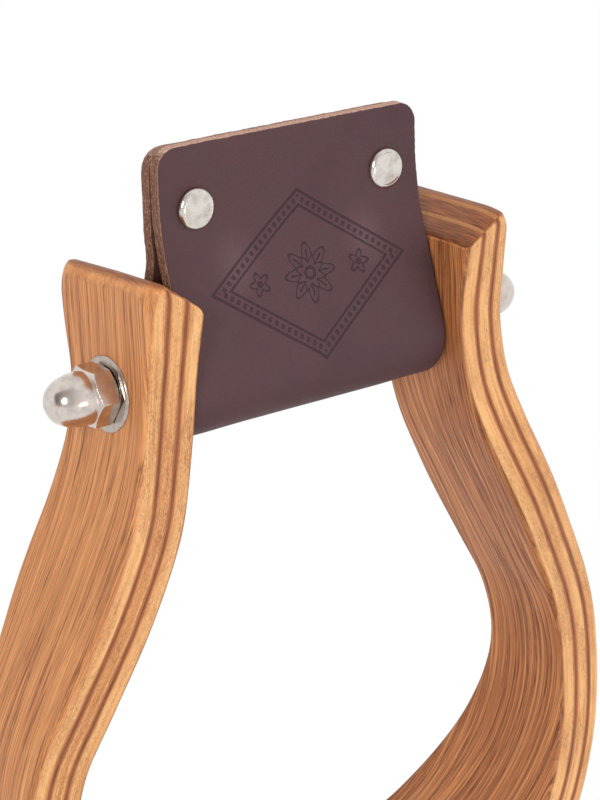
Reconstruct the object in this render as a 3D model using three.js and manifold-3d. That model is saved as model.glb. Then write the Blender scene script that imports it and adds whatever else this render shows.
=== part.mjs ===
// A western stirrup: a bell of bent and glued oak strips, open at the top, with a bolt across its
// neck. A roller turns on the bolt, and a folded leather cover wraps the roller.
// Millimetres. X runs along the bolt, Y from front (-) to back (+), Z up from the tread's underside.

import * as THREE from "three";
import { mergeVertices } from "three/addons/utils/BufferGeometryUtils.js";
import Module from "manifold-3d";

const wasm = await Module();
wasm.setup();

// Bell of bent wood, seen from the front
const neckInside = 76.2; // between the arms at the bolt
const footInside = 149.8; // between the arms where they are widest
const flankLean = 27.1; // degrees from upright
const neckBendRadius = 93;
const shoulderBendRadius = 59.7;
const cornerBendRadius = 55.7;
const neckBendAboveBolt = 6.7;

// Strips of the lamination
const outerPly = 3.7;
const innerPly = 4.4;
const corePly = 3.5;
const crossband = 1.05;
const glueLine = 0.1;

// Depth of the arms, front to back, with heights from the bolt
const flareDepth = 42.6;
const flareAboveBolt = 40;
const waistDepth = 31.8;
const waistBelowBolt = 6;
const shoulderDepth = 37.9;
const shoulderBelowBolt = 43;
const shankDepth = 28.8;
const shankBelowBolt = 97;
const treadDepth = 50.8;

// Ends and edges of the arms
const armTopAboveBolt = 24.85; // at the middle of the wood's thickness
const endSlope = 32.5; // degrees, falling towards the inside
const endRound = 5;
const outerEdgeRound = 2.3;
const innerEdgeRound = 1.6;
const tipLeast = 0.7; // thickness left of the outermost strip at the tip of a rounded end
const edgeFlat = 0.1; // straight part kept beside a rounded edge

// Bolt, nuts and washers
const boltDiameter = 8;
const boltHoleGap = 0.3;
const boltEndBevel = 0.8;
const nutAcrossFlats = 13;
const nutHexHeight = 5;
const nutSeatChamfer = 0.4;
const nutTopChamfer = 0.8;
const nutTopCircle = 12.7; // where the top chamfer ends, round the dome
const domeDiameter = 12.5;
const domeCollar = 3.4; // straight part between the hexagon and the round end
const nutBoreEnd = 4; // solid metal left at the tip of the dome
const nutTurns = { left: 32, right: 17 }; // degrees, as tightened
const washerDiameter = 17.6;
const washerThickness = 1.6;
const washerRim = 0.4;
const threadGap = 0.25;
const seatGap = 0.3;

// Roller and its spacer
const sleeveWall = 1.3;
const rollerWall = 1.85;
const rollerRunningGap = 0.35;
const rollerSideGap = 0.8;
const rollerBevel = 0.6;

// Leather cover
const leather = 3.3;
const coverSideGap = 0.8; // to each arm
const coverRunningGap = 0.2; // to the roller
const coverTopAboveBolt = 53.1;
const coverBackDrop = 0.8; // the back layer is cut this much lower
const layerGap = 0.2;
const seamBehindBolt = 2;
const seamBelowRivets = 0.4; // the layers part this far below the rivets' heads
const foldDrop = 2.8; // the fold hangs this much below the bolt's axis
const flankOpening = 14.5; // degrees, each layer from upright
const flankTopAboveBolt = 24;
const coverCornerRound = 5;

// Rivets
const rivetInset = 9.7; // from the cover's side edge
const rivetAboveBolt = 38.2;
const rivetHeadDiameter = 9.3;
const rivetHeadHeight = 1.7;
const rivetPostDiameter = 3.8;
const rivetBoreDepth = 4.7;
const rivetProngDiameter = 1.8;
const rivetProngLength = 3.4;
const rivetGap = 0.3;

// Tread pad and its tacks
const padEndGap = 1.2; // from where the tread starts to curve up
const padSideGap = 2.9;
const padThickness = 3.2;
const padCornerRound = 5;
const tackHeadDiameter = 7.4;
const tackHeadHeight = 1.9;
const tackShankDiameter = 1.8;
const tackBite = 3.6; // into the wood
const tackPoint = 1.2;
const tackInset = { x: 6.5, y: 5.8 };
const tackRowCount = 3;

// Steps of the facets
const woodStep = 6;
const leatherStep = 2.6;
const roundSteps = 3;
const outlineSteps = 3;
const domeSteps = 6;
const crownSteps = 4;
const turnedSegments = 24;
const smallSegments = 16;
const tackSegments = 12;

// Making the solids
const weld = 1e-4; // points this near each other are one
const cutPast = 10; // how far a cut runs past what it cuts
const overlap = 0.1; // kept between faces that would otherwise fall together in a cut

// Sizes that follow
const outerHalf = corePly / 2 + crossband + 2 * glueLine + outerPly; // from the core's middle
const innerHalf = corePly / 2 + crossband + 2 * glueLine + innerPly;
const woodThickness = outerHalf + innerHalf;
const neckCentre = neckInside / 2 + innerHalf;
const footCentre = footInside / 2 + innerHalf;
const lean = THREE.MathUtils.degToRad(flankLean);
const bendWidths = (neckBendRadius + shoulderBendRadius) * (1 - Math.cos(lean));
const flankLength = (footCentre - neckCentre - bendWidths) / Math.sin(lean);
const bendHeights = (neckBendRadius + shoulderBendRadius) * Math.sin(lean);
const widestHeight = outerHalf + cornerBendRadius;
const neckBendHeight = widestHeight + bendHeights + flankLength * Math.cos(lean);
const boltHeight = neckBendHeight - neckBendAboveBolt;
const armTop = boltHeight + armTopAboveBolt;
const washerSeat = neckInside / 2 + woodThickness;
const nutSeat = washerSeat + washerThickness;
const boltHoleDiameter = boltDiameter + 2 * boltHoleGap;
const sleeveBore = boltDiameter + 2 * seatGap;
const sleeveDiameter = sleeveBore + 2 * sleeveWall;
const rollerBore = sleeveDiameter + 2 * rollerRunningGap;
const rollerDiameter = rollerBore + 2 * rollerWall;
const coverOpening = THREE.MathUtils.degToRad(flankOpening);
const foldRadius = rollerDiameter / 2 + coverRunningGap + foldDrop * Math.sin(coverOpening);
const coverWidth = neckInside - 2 * coverSideGap;
const rivetSpacing = coverWidth - 2 * rivetInset;
const padLength = 2 * (footCentre - cornerBendRadius - padEndGap);
const padDepth = treadDepth - 2 * padSideGap;

// Solids

function toSolid(geometry) {
  const bare = geometry.clone();
  bare.deleteAttribute("normal");
  bare.deleteAttribute("uv");
  const merged = mergeVertices(bare, weld);
  return new wasm.Manifold(
    new wasm.Mesh({
      numProp: 3,
      vertProperties: merged.attributes.position.array,
      triVerts: new Uint32Array(merged.index.array),
    }),
  );
}

function toGeometry(solid) {
  const mesh = solid.getMesh();
  const geometry = new THREE.BufferGeometry();
  geometry.setAttribute("position", new THREE.BufferAttribute(mesh.vertProperties, 3));
  geometry.setIndex(new THREE.BufferAttribute(mesh.triVerts, 1));
  geometry.computeVertexNormals();
  return geometry;
}

// A solid turned about X from pairs of distance along X and radius
function turnedAboutX(profile, segments = turnedSegments) {
  const points = profile.map(([along, radius]) => new THREE.Vector2(radius, along));
  return new THREE.LatheGeometry(points, segments).rotateZ(-Math.PI / 2);
}

// The outer corners of a turned piece from one end to the other, bevelled or square
function rimCorners(radius, end, bevel) {
  if (!bevel) return [[-end, radius], [end, radius]];
  return [[-end, radius - bevel], [bevel - end, radius], [end - bevel, radius], [end, radius - bevel]];
}

function tubeAboutX(innerDiameter, outerDiameter, length, bevel = 0) {
  const inner = innerDiameter / 2;
  const end = length / 2;
  const rim = rimCorners(outerDiameter / 2, end, bevel);
  return turnedAboutX([[-end, inner], ...rim, [end, inner], [-end, inner]]);
}

function rodAboutX(diameter, length, bevel = 0) {
  const radius = diameter / 2;
  const end = length / 2;
  return turnedAboutX([[-end, 0], ...rimCorners(radius, end, bevel), [end, 0]]);
}

// Points along a path, each with its tangent's left-hand normal, ending exactly on its corners
function stationsAlong(path, step) {
  const stations = [];
  for (const curve of path.curves.filter((piece) => piece.getLength() > weld)) {
    const count = Math.max(1, Math.ceil(curve.getLength() / step));
    for (let i = 0; i <= count; i++) {
      if (i === 0 && stations.length) continue;
      const point = curve.getPointAt(i / count);
      const tangent = curve.getTangentAt(i / count);
      stations.push({ point, normal: new THREE.Vector2(-tangent.y, tangent.x) });
    }
  }
  return stations;
}

// A closed skin over a row of rings with equal numbers of points, with a flat fan at each end
function loft(rings) {
  const perRing = rings[0].length;
  const index = [];
  for (let r = 0; r + 1 < rings.length; r++) {
    for (let i = 0; i < perRing; i++) {
      const a = r * perRing + i;
      const b = r * perRing + ((i + 1) % perRing);
      index.push(a, a + perRing, b, b, a + perRing, b + perRing);
    }
  }
  const last = (rings.length - 1) * perRing;
  for (let i = 1; i + 1 < perRing; i++) {
    index.push(0, i, i + 1);
    index.push(last, last + i + 1, last + i);
  }
  const geometry = new THREE.BufferGeometry().setFromPoints(rings.flat());
  return geometry.setIndex(index);
}

// Bent wood

// The middle line of the strips in X and Z, from a height on the left arm round the tread to the right
function bellLine(top) {
  const half = Math.PI / 2;
  const cornerX = footCentre - cornerBendRadius;
  const shoulderX = footCentre - shoulderBendRadius;
  const bendX = neckCentre + neckBendRadius;
  const path = new THREE.Path();
  path.moveTo(-neckCentre, top);
  path.lineTo(-neckCentre, neckBendHeight);
  path.absarc(-bendX, neckBendHeight, neckBendRadius, 0, -lean, true);
  path.absarc(-shoulderX, widestHeight, shoulderBendRadius, Math.PI - lean, Math.PI, false);
  path.absarc(-cornerX, widestHeight, cornerBendRadius, Math.PI, 3 * half, false);
  path.absarc(cornerX, widestHeight, cornerBendRadius, -half, 0, false);
  path.absarc(shoulderX, widestHeight, shoulderBendRadius, 0, lean, false);
  path.absarc(bendX, neckBendHeight, neckBendRadius, Math.PI + lean, Math.PI, true);
  path.lineTo(neckCentre, top);
  return path;
}

// Half the wood's depth at a height, easing from each named depth to the next
function halfDepthAt(height) {
  const stops = [
    [outerHalf, treadDepth],
    [boltHeight - shankBelowBolt, shankDepth],
    [boltHeight - shoulderBelowBolt, shoulderDepth],
    [boltHeight - waistBelowBolt, waistDepth],
    [boltHeight + flareAboveBolt, flareDepth],
  ];
  let depth = treadDepth;
  for (let i = 1; i < stops.length; i++) {
    const share = THREE.MathUtils.smoothstep(height, stops[i - 1][0], stops[i][0]);
    depth += share * (stops[i][1] - stops[i - 1][1]);
  }
  return depth / 2;
}

// How far each cross-section leans to meet the sloping end, from none at the bolt to all at the top
function endLeanAt(height) {
  const start = boltHeight + washerDiameter / 2 + seatGap;
  const share = THREE.MathUtils.clamp((height - start) / (armTop - start), 0, 1);
  return share * Math.tan(THREE.MathUtils.degToRad(endSlope));
}

// How much a rounded end draws in, at a distance from the end
function drawnIn(distance) {
  const short = Math.max(0, endRound - distance);
  return endRound - Math.sqrt(endRound * endRound - short * short);
}

// Where the cross-sections lie, with a few more over each rounded end
function bellStations() {
  const roundStart = armTop - endRound;
  const stations = stationsAlong(bellLine(roundStart), woodStep);
  const overEnd = ({ point, normal }) => {
    const places = [];
    for (let i = 1; i <= roundSteps; i++) {
      const turn = (Math.PI / 2) * (i / roundSteps);
      const height = roundStart + endRound * Math.sin(turn);
      places.push({ point: new THREE.Vector2(point.x, height), normal });
    }
    return places;
  };
  return [...overEnd(stations[0]).reverse(), ...stations, ...overEnd(stations.at(-1))];
}

// One corner of a cross-section: a point, or an arc of the given radius
function corner(y, across, ySign, acrossSign, radius, startsAcross) {
  if (!radius) return [[y, across]];
  const points = [];
  for (let i = 0; i <= roundSteps; i++) {
    const turn = (Math.PI / 2) * (i / roundSteps);
    const part = startsAcross ? Math.PI / 2 - turn : turn;
    points.push([
      y - ySign * radius * (1 - Math.cos(part)),
      across - acrossSign * radius * (1 - Math.sin(part)),
    ]);
  }
  return points;
}

// One strip between two distances from the middle line, positive towards the outside
function bentStrip(low, high, lowRound, highRound) {
  const rings = bellStations().map(({ point, normal }) => {
    const pull = drawnIn(armTop - point.y);
    const highEnd = highRound ? Math.max(high - pull, low + tipLeast) : high;
    const highArc = Math.min(highRound, highEnd - low - edgeFlat);
    const halfDepth = halfDepthAt(point.y) - pull;
    const ring = [
      ...corner(halfDepth, low, 1, -1, lowRound, true),
      ...corner(halfDepth, highEnd, 1, 1, highArc, false),
      ...corner(-halfDepth, highEnd, -1, 1, highArc, true),
      ...corner(-halfDepth, low, -1, -1, lowRound, false),
    ];
    return ring.map(([y, across]) => {
      const x = point.x - across * normal.x;
      const z = point.y - across * normal.y + across * endLeanAt(point.y);
      return new THREE.Vector3(x, y, z);
    });
  });
  return loft(rings);
}

// The bolt's hole through both arms
function boltHole() {
  const hole = rodAboutX(boltHoleDiameter, 2 * (washerSeat + cutPast));
  return toSolid(hole.translate(0, 0, boltHeight));
}

// The washers bed square to the bolt in the outer strip, which curves away below them
function washerBeds() {
  const beds = [-1, 1].map((side) => {
    const bed = rodAboutX(washerDiameter + 2 * seatGap, cutPast);
    return toSolid(bed.translate(side * (washerSeat + cutPast / 2), 0, boltHeight));
  });
  return beds[0].add(beds[1]);
}

// Tacks

const tackPlaces = [];
for (let i = 0; i < tackRowCount; i++) {
  const reach = padLength / 2 - tackInset.x;
  const x = THREE.MathUtils.lerp(-reach, reach, i / (tackRowCount - 1));
  tackPlaces.push({ x, y: padDepth / 2 - tackInset.y }, { x, y: tackInset.y - padDepth / 2 });
}

// Upright cylinders at the tacks, for their holes
function tackHoles(bottom, top) {
  const radius = tackShankDiameter / 2 + seatGap;
  return tackPlaces.map(({ x, y }) => {
    const hole = new THREE.CylinderGeometry(radius, radius, top - bottom, tackSegments);
    return toSolid(hole.rotateX(Math.PI / 2).translate(x, y, (top + bottom) / 2));
  });
}

function woodStrips() {
  const core = corePly / 2;
  const hole = boltHole();
  const strips = [
    ["outer_ply", outerHalf - outerPly, outerHalf, 0, outerEdgeRound, [hole, washerBeds()]],
    ["outer_crossband", core + glueLine, core + glueLine + crossband, 0, 0, [hole]],
    ["core_ply", -core, core, 0, 0, [hole]],
    ["inner_crossband", -core - glueLine - crossband, -core - glueLine, 0, 0, [hole]],
    [
      "inner_ply", -innerHalf, innerPly - innerHalf, innerEdgeRound, 0,
      [hole, ...tackHoles(woodThickness - tackBite - seatGap, woodThickness + cutPast)],
    ],
  ];
  return strips.map(([name, low, high, lowRound, highRound, cuts]) => {
    let solid = toSolid(bentStrip(low, high, lowRound, highRound));
    for (const cut of cuts) solid = solid.subtract(cut);
    return [name, toGeometry(solid)];
  });
}

// Bolt, nuts and washers

const nutLength = nutHexHeight + domeCollar + domeDiameter / 2;
const nutBoreLength = nutLength - nutBoreEnd;

function boltGeometry() {
  return rodAboutX(boltDiameter, 2 * (nutSeat + nutBoreLength - seatGap), boltEndBevel);
}

// A closed-end nut along X from its seat at 0
function capNutGeometry() {
  const dome = domeDiameter / 2;
  const hexRadius = nutAcrossFlats / 2 / Math.cos(Math.PI / 6);
  const hexagon = new THREE.CylinderGeometry(hexRadius, hexRadius, nutHexHeight, 6)
    .rotateZ(-Math.PI / 2)
    .translate(nutHexHeight / 2, 0, 0);
  const chamfered = turnedAboutX([
    [0, 0],
    [0, nutAcrossFlats / 2],
    [nutSeatChamfer, hexRadius + overlap],
    [nutHexHeight - nutTopChamfer, hexRadius + overlap],
    [nutHexHeight, nutTopCircle / 2],
    [nutHexHeight, 0],
  ]);
  const profile = [[nutHexHeight / 2, 0], [nutHexHeight / 2, dome]];
  for (let i = 0; i <= domeSteps; i++) {
    const turn = (Math.PI / 2) * (i / domeSteps);
    const radius = i === domeSteps ? 0 : dome * Math.cos(turn);
    profile.push([nutHexHeight + domeCollar + dome * Math.sin(turn), radius]);
  }
  const bore = rodAboutX(boltDiameter + 2 * threadGap, 2 * nutBoreLength);
  const body = toSolid(hexagon).intersect(toSolid(chamfered)).add(toSolid(turnedAboutX(profile)));
  return toGeometry(body.subtract(toSolid(bore)));
}

function washerGeometry() {
  return tubeAboutX(boltHoleDiameter, washerDiameter, washerThickness, washerRim);
}

// Roller and its spacer

function sleeveGeometry() {
  return tubeAboutX(sleeveBore, sleeveDiameter, neckInside);
}

function rollerGeometry() {
  return tubeAboutX(rollerBore, rollerDiameter, neckInside - 2 * rollerSideGap, rollerBevel);
}

// Leather cover

const layerCentre = (layerGap + leather) / 2;

// The middle line of the leather in Y and Z, from the front layer's top round the fold to the back
function coverLine() {
  const radius = foldRadius + leather / 2;
  const foldHeight = boltHeight - foldDrop;
  const tangentY = radius * Math.cos(coverOpening);
  const tangentZ = foldHeight + radius * Math.sin(coverOpening);
  const flankTop = boltHeight + flankTopAboveBolt;
  const flankTopY = tangentY - (flankTop - tangentZ) * Math.tan(coverOpening);
  const seamEnd = boltHeight + rivetAboveBolt - rivetHeadDiameter / 2 - seamBelowRivets;
  const top = boltHeight + coverTopAboveBolt;
  const pull = (seamEnd - flankTop) / 2;
  const front = seamBehindBolt - layerCentre;
  const back = seamBehindBolt + layerCentre;
  const pullY = pull * Math.tan(coverOpening);
  const path = new THREE.Path();
  path.moveTo(front, top);
  path.lineTo(front, seamEnd);
  path.bezierCurveTo(front, seamEnd - pull, pullY - flankTopY, flankTop + pull, -flankTopY, flankTop);
  path.lineTo(-tangentY, tangentZ);
  path.absarc(0, foldHeight, radius, Math.PI - coverOpening, 2 * Math.PI + coverOpening, false);
  path.lineTo(flankTopY, flankTop);
  path.bezierCurveTo(flankTopY - pullY, flankTop + pull, back, seamEnd - pull, back, seamEnd);
  path.lineTo(back, top - coverBackDrop);
  return path;
}

// A flat outline in X and Z with its two upper corners rounded
function roundTopped(width, bottom, top, radius) {
  const side = width / 2;
  const shape = new THREE.Shape();
  shape.moveTo(-side, bottom);
  shape.lineTo(side, bottom);
  shape.absarc(side - radius, top - radius, radius, 0, Math.PI / 2, false);
  shape.absarc(radius - side, top - radius, radius, Math.PI / 2, Math.PI, false);
  return shape;
}

function coverGeometry() {
  const stations = stationsAlong(coverLine(), leatherStep);
  const side = (sign) => stations.map(({ point, normal }) => {
    return point.clone().addScaledVector(normal, (sign * leather) / 2);
  });
  const outline = new THREE.Shape([...side(-1), ...side(1).reverse()]);
  const strip = new THREE.ExtrudeGeometry(outline, { depth: coverWidth, bevelEnabled: false })
    .translate(0, 0, -coverWidth / 2)
    .rotateX(Math.PI / 2)
    .rotateZ(Math.PI / 2);
  const reach = coverTopAboveBolt;
  const trim = roundTopped(
    coverWidth, boltHeight - reach, boltHeight + coverTopAboveBolt, coverCornerRound,
  );
  const cutter = new THREE.ExtrudeGeometry(trim, {
    depth: 2 * reach, bevelEnabled: false, curveSegments: outlineSteps,
  }).translate(0, 0, -reach).rotateX(Math.PI / 2);
  let solid = toSolid(strip).intersect(toSolid(cutter));
  const holeRadius = rivetPostDiameter / 2 + rivetGap;
  for (const side of [-1, 1]) {
    const hole = new THREE.CylinderGeometry(holeRadius, holeRadius, reach, smallSegments);
    const x = (side * rivetSpacing) / 2;
    hole.translate(x, seamBehindBolt, boltHeight + rivetAboveBolt);
    solid = solid.subtract(toSolid(hole));
  }
  return toGeometry(solid);
}

// Rivets

const gripLength = 2 * leather + layerGap;

// A low dome from its rim at 0 to its crown, as pairs of radius and height
function crown(radius, height) {
  const rim = height / 3;
  const points = [[radius, 0], [radius, rim]];
  for (let i = 1; i <= crownSteps; i++) {
    const turn = (Math.PI / 2) * (i / crownSteps);
    const x = i === crownSteps ? 0 : radius * Math.cos(turn);
    points.push([x, rim + (height - rim) * Math.sin(turn)]);
  }
  return points;
}

// Lathe points run up the outside, so the solid faces out
function lathed(pairs, segments = smallSegments) {
  return new THREE.LatheGeometry(pairs.map(([radius, y]) => new THREE.Vector2(radius, y)), segments);
}

// A head with a hollow post, along Y, its head's flat side at 0 and its crown at negative Y
function rivetPostGeometry() {
  const post = rivetPostDiameter / 2;
  const bore = rivetProngDiameter / 2 + rivetGap;
  const tip = gripLength - rivetGap;
  const profile = [
    [0, tip - rivetBoreDepth],
    [bore, tip - rivetBoreDepth],
    [bore, tip],
    [post, tip],
    [post, 0],
    ...crown(rivetHeadDiameter / 2, rivetHeadHeight).map(([radius, y]) => [radius, -y]),
  ];
  return lathed(profile.reverse());
}

// The cap that closes the rivet: a head whose prong enters the post
function rivetCapGeometry() {
  const prong = rivetProngDiameter / 2;
  return lathed([
    [0, -rivetProngLength],
    [prong, -rivetProngLength],
    [prong, 0],
    ...crown(rivetHeadDiameter / 2, rivetHeadHeight),
  ]);
}

// Tread pad and tacks

function roundedRectangle(width, height, radius) {
  const x = width / 2;
  const y = height / 2;
  const shape = new THREE.Shape();
  shape.absarc(x - radius, y - radius, radius, 0, Math.PI / 2, false);
  shape.absarc(radius - x, y - radius, radius, Math.PI / 2, Math.PI, false);
  shape.absarc(radius - x, radius - y, radius, Math.PI, 1.5 * Math.PI, false);
  shape.absarc(x - radius, radius - y, radius, -Math.PI / 2, 0, false);
  return shape;
}

function treadPadGeometry() {
  const outline = roundedRectangle(padLength, padDepth, padCornerRound);
  const pad = new THREE.ExtrudeGeometry(outline, {
    depth: padThickness, bevelEnabled: false, curveSegments: outlineSteps,
  }).translate(0, 0, woodThickness);
  let solid = toSolid(pad);
  for (const hole of tackHoles(woodThickness - cutPast, woodThickness + cutPast)) {
    solid = solid.subtract(hole);
  }
  return toGeometry(solid);
}

function tackGeometry() {
  const shank = tackShankDiameter / 2;
  const length = padThickness + tackBite;
  return lathed([
    [0, -length],
    [shank, tackPoint - length],
    [shank, 0],
    ...crown(tackHeadDiameter / 2, tackHeadHeight),
  ], tackSegments).rotateX(Math.PI / 2);
}

// Finishes

function finish(color, roughness, metalness) {
  return () => new THREE.MeshStandardMaterial({ color, roughness, metalness });
}

const oakFace = finish(0xcb8f58, 0.5, 0);
const oakCrossband = finish(0x8a5230, 0.55, 0);
const plating = finish(0xc9c8c6, 0.18, 1);
const spacerSteel = finish(0x9c9a96, 0.4, 1);
const nylon = finish(0xd9d4c6, 0.45, 0);
const coverLeather = finish(0x5a3b40, 0.5, 0);
const nickel = finish(0xd2cdc6, 0.25, 1);
const tackBrass = finish(0xb08a4a, 0.35, 1);

// Assembly

const stirrup = new THREE.Group();

function place(parent, name, geometry, material, x = 0, y = 0, z = 0) {
  const mesh = new THREE.Mesh(geometry, material());
  mesh.name = name;
  mesh.position.set(x, y, z);
  parent.add(mesh);
  return mesh;
}

for (const [name, geometry] of woodStrips()) {
  place(stirrup, name, geometry, name.endsWith("crossband") ? oakCrossband : oakFace);
}

const boltLine = new THREE.Group();
boltLine.position.z = boltHeight;
stirrup.add(boltLine);
place(boltLine, "bolt", boltGeometry(), plating);
place(boltLine, "spacer_sleeve", sleeveGeometry(), spacerSteel);
place(boltLine, "roller", rollerGeometry(), nylon);
for (const [hand, side] of [["left", -1], ["right", 1]]) {
  const seat = side * (washerSeat + washerThickness / 2);
  place(boltLine, `${hand}_washer`, washerGeometry(), plating, seat);
  const nut = place(boltLine, `${hand}_cap_nut`, capNutGeometry(), plating, side * nutSeat);
  nut.rotation.x = THREE.MathUtils.degToRad(nutTurns[hand]);
  nut.rotation.z = side < 0 ? Math.PI : 0;
}

place(stirrup, "leather_cover", coverGeometry(), coverLeather);
for (const [hand, side] of [["left", -1], ["right", 1]]) {
  const x = (side * rivetSpacing) / 2;
  const z = boltHeight + rivetAboveBolt;
  const front = seamBehindBolt - gripLength / 2;
  const back = seamBehindBolt + gripLength / 2;
  place(stirrup, `${hand}_rivet_post`, rivetPostGeometry(), nickel, x, front, z);
  place(stirrup, `${hand}_rivet_cap`, rivetCapGeometry(), nickel, x, back, z);
}

place(stirrup, "tread_pad", treadPadGeometry(), coverLeather);
tackPlaces.forEach(({ x, y }, i) => {
  const head = woodThickness + padThickness;
  place(stirrup, `tread_tack_${i + 1}`, tackGeometry(), tackBrass, x, y, head);
});

export default stirrup;
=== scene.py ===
from math import atan2, cos, exp, hypot, pi, radians, sin, sqrt, tan

import bmesh
import bpy
from mathutils import Matrix, Vector, noise


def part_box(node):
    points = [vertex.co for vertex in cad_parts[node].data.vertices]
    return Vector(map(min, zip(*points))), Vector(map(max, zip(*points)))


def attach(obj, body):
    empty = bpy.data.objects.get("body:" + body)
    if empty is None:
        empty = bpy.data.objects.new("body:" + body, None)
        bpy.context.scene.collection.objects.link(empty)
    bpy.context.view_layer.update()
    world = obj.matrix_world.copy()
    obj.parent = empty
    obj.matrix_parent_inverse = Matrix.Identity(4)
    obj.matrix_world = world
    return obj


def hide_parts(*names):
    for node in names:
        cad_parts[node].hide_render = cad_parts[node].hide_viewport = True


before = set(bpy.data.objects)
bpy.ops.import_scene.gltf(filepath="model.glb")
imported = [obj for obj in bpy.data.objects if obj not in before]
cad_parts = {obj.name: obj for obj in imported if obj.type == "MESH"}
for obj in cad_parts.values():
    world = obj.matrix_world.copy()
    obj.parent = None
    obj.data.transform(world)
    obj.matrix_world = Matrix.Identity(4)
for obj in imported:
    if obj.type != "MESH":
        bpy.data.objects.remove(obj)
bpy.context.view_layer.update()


# Camera. It stands in front of the stirrup and to the left, a little above the bolt, and looks at
# a point just under it. The picture is 600 wide and 800 high, and the sensor's 36 mm lie along its
# height.
mm = 0.001
bolt_height = (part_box("bolt")[0].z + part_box("bolt")[1].z) / 2
view_azimuth = radians(-37.2026)
view_elevation = radians(19.1193)
view_roll = radians(-1.4293)
view_distance = 612.29 * mm
view_target = Vector((1.794 * mm, 0, bolt_height - 14.567 * mm))
focal_length_px = 2564.16
picture_height_px = 800
sensor = 36

camera_data = bpy.data.cameras.new("camera")
camera_data.sensor_width = sensor
camera_data.lens = focal_length_px * sensor / picture_height_px
camera = bpy.data.objects.new("camera", camera_data)
aim = (
    Matrix.Rotation(view_azimuth, 4, "Z")
    @ Matrix.Rotation(pi / 2 - view_elevation, 4, "X")
    @ Matrix.Rotation(view_roll, 4, "Z")
)
camera.matrix_world = Matrix.Translation(view_target + aim.to_3x3() @ Vector((0, 0, view_distance))) @ aim
bpy.context.collection.objects.link(camera)
bpy.context.scene.camera = camera
bpy.context.scene.view_settings.view_transform = "Standard"


# Floor and light. The stirrup stands on white paper in a white room. A large soft box stands on its
# right and a small one on its left. The bright metal shows the small one, a dark curtain behind it
# and a white card in front.
class Wire:
    """An output of a shader node. Arithmetic on it adds Math nodes to the same material."""

    def __init__(self, tree, socket=None):
        self.tree = tree
        self.socket = socket

    def node(self, kind, values, output=0, **settings):
        """Adds a node. Its settings go first, then the values or wires of its sockets."""
        made = self.tree.nodes.new("ShaderNode" + kind)
        for name, value in settings.items():
            setattr(made, name, value)
        for place, value in values.items():
            if isinstance(value, Wire):
                self.tree.links.new(value.socket, made.inputs[place])
            else:
                made.inputs[place].default_value = value
        return Wire(self.tree, made.outputs[output])

    def math(self, operation, *values):
        return self.node("Math", dict(enumerate(values)), operation=operation)

    def __add__(self, other):
        return self.math("ADD", self, other)

    def __sub__(self, other):
        return self.math("SUBTRACT", self, other)

    def __rsub__(self, other):
        return self.math("SUBTRACT", other, self)

    def __mul__(self, other):
        return self.math("MULTIPLY", self, other)

    def __truediv__(self, other):
        return self.math("DIVIDE", self, other)

    __radd__ = __add__
    __rmul__ = __mul__

    def __abs__(self):
        return self.math("ABSOLUTE", self)


def tone(red, green, blue):
    """A colour given as it looks on a screen, 0 to 255, as the linear one that shaders take."""
    linear = [((c / 255 + 0.055) / 1.055) ** 2.4 if c > 10 else c / 3295 for c in (red, green, blue)]
    return (*linear, 1)


def new_finish(name, **steady):
    """A material whose unchanging sockets are set, with a wire into its tree and its main shader."""
    material = bpy.data.materials.new(name)
    material.use_nodes = True
    shader = material.node_tree.nodes["Principled BSDF"]
    for socket, value in steady.items():
        shader.inputs[socket.replace("_", " ")].default_value = value
    return material, Wire(material.node_tree), shader


def feed(shader, socket, wire):
    wire.tree.links.new(wire.socket, shader.inputs[socket])


def seen_directly(wire):
    """1 for the camera's rays and for those that metal or glass sends on."""
    ways = ("Is Camera Ray", "Is Glossy Ray", "Is Transmission Ray")
    to_camera, glossy, through = [wire.node("LightPath", {}, output=way) for way in ways]
    return to_camera + glossy + through


def parts_of(vector):
    return [vector.node("SeparateXYZ", {0: vector}, output=i) for i in range(3)]


def rise(wire, low, high):
    """0 under low, 1 over high, and smooth between them."""
    return wire.node("MapRange", {0: wire, 1: low, 2: high}, interpolation_type="SMOOTHSTEP")


def mixed(share, first, second):
    wire = share if isinstance(share, Wire) else first
    return wire.node("Mix", {0: share, 6: first, 7: second}, output=2, data_type="RGBA")


def flat_sheet(name, width, height, finish):
    bm = bmesh.new()
    bmesh.ops.create_grid(bm, x_segments=1, y_segments=1, size=0.5)
    bmesh.ops.scale(bm, vec=(width, height, 1), verts=bm.verts)
    data = bpy.data.meshes.new(name)
    bm.to_mesh(data)
    bm.free()
    data.materials.append(finish)
    made = bpy.data.objects.new(name, data)
    bpy.context.collection.objects.link(made)
    return made


def facing_stirrup(azimuth, elevation, distance):
    """The place and turn of a thing at that azimuth, with its front towards the bolt."""
    turn = Matrix.Rotation(radians(azimuth), 4, "Z") @ Matrix.Rotation(radians(90 - elevation), 4, "X")
    place = Vector((0, 0, bolt_height)) + turn.to_3x3() @ Vector((0, 0, distance))
    return Matrix.Translation(place) @ turn


def soft_box(name, azimuth, elevation, distance, width, height, power):
    lamp = bpy.data.lights.new(name, "AREA")
    lamp.shape = "RECTANGLE"
    lamp.size = width
    lamp.size_y = height
    lamp.energy = power
    holder = bpy.data.objects.new(name, lamp)
    holder.matrix_world = facing_stirrup(azimuth, elevation, distance)
    bpy.context.collection.objects.link(holder)
    holder.visible_camera = False
    return holder


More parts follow.
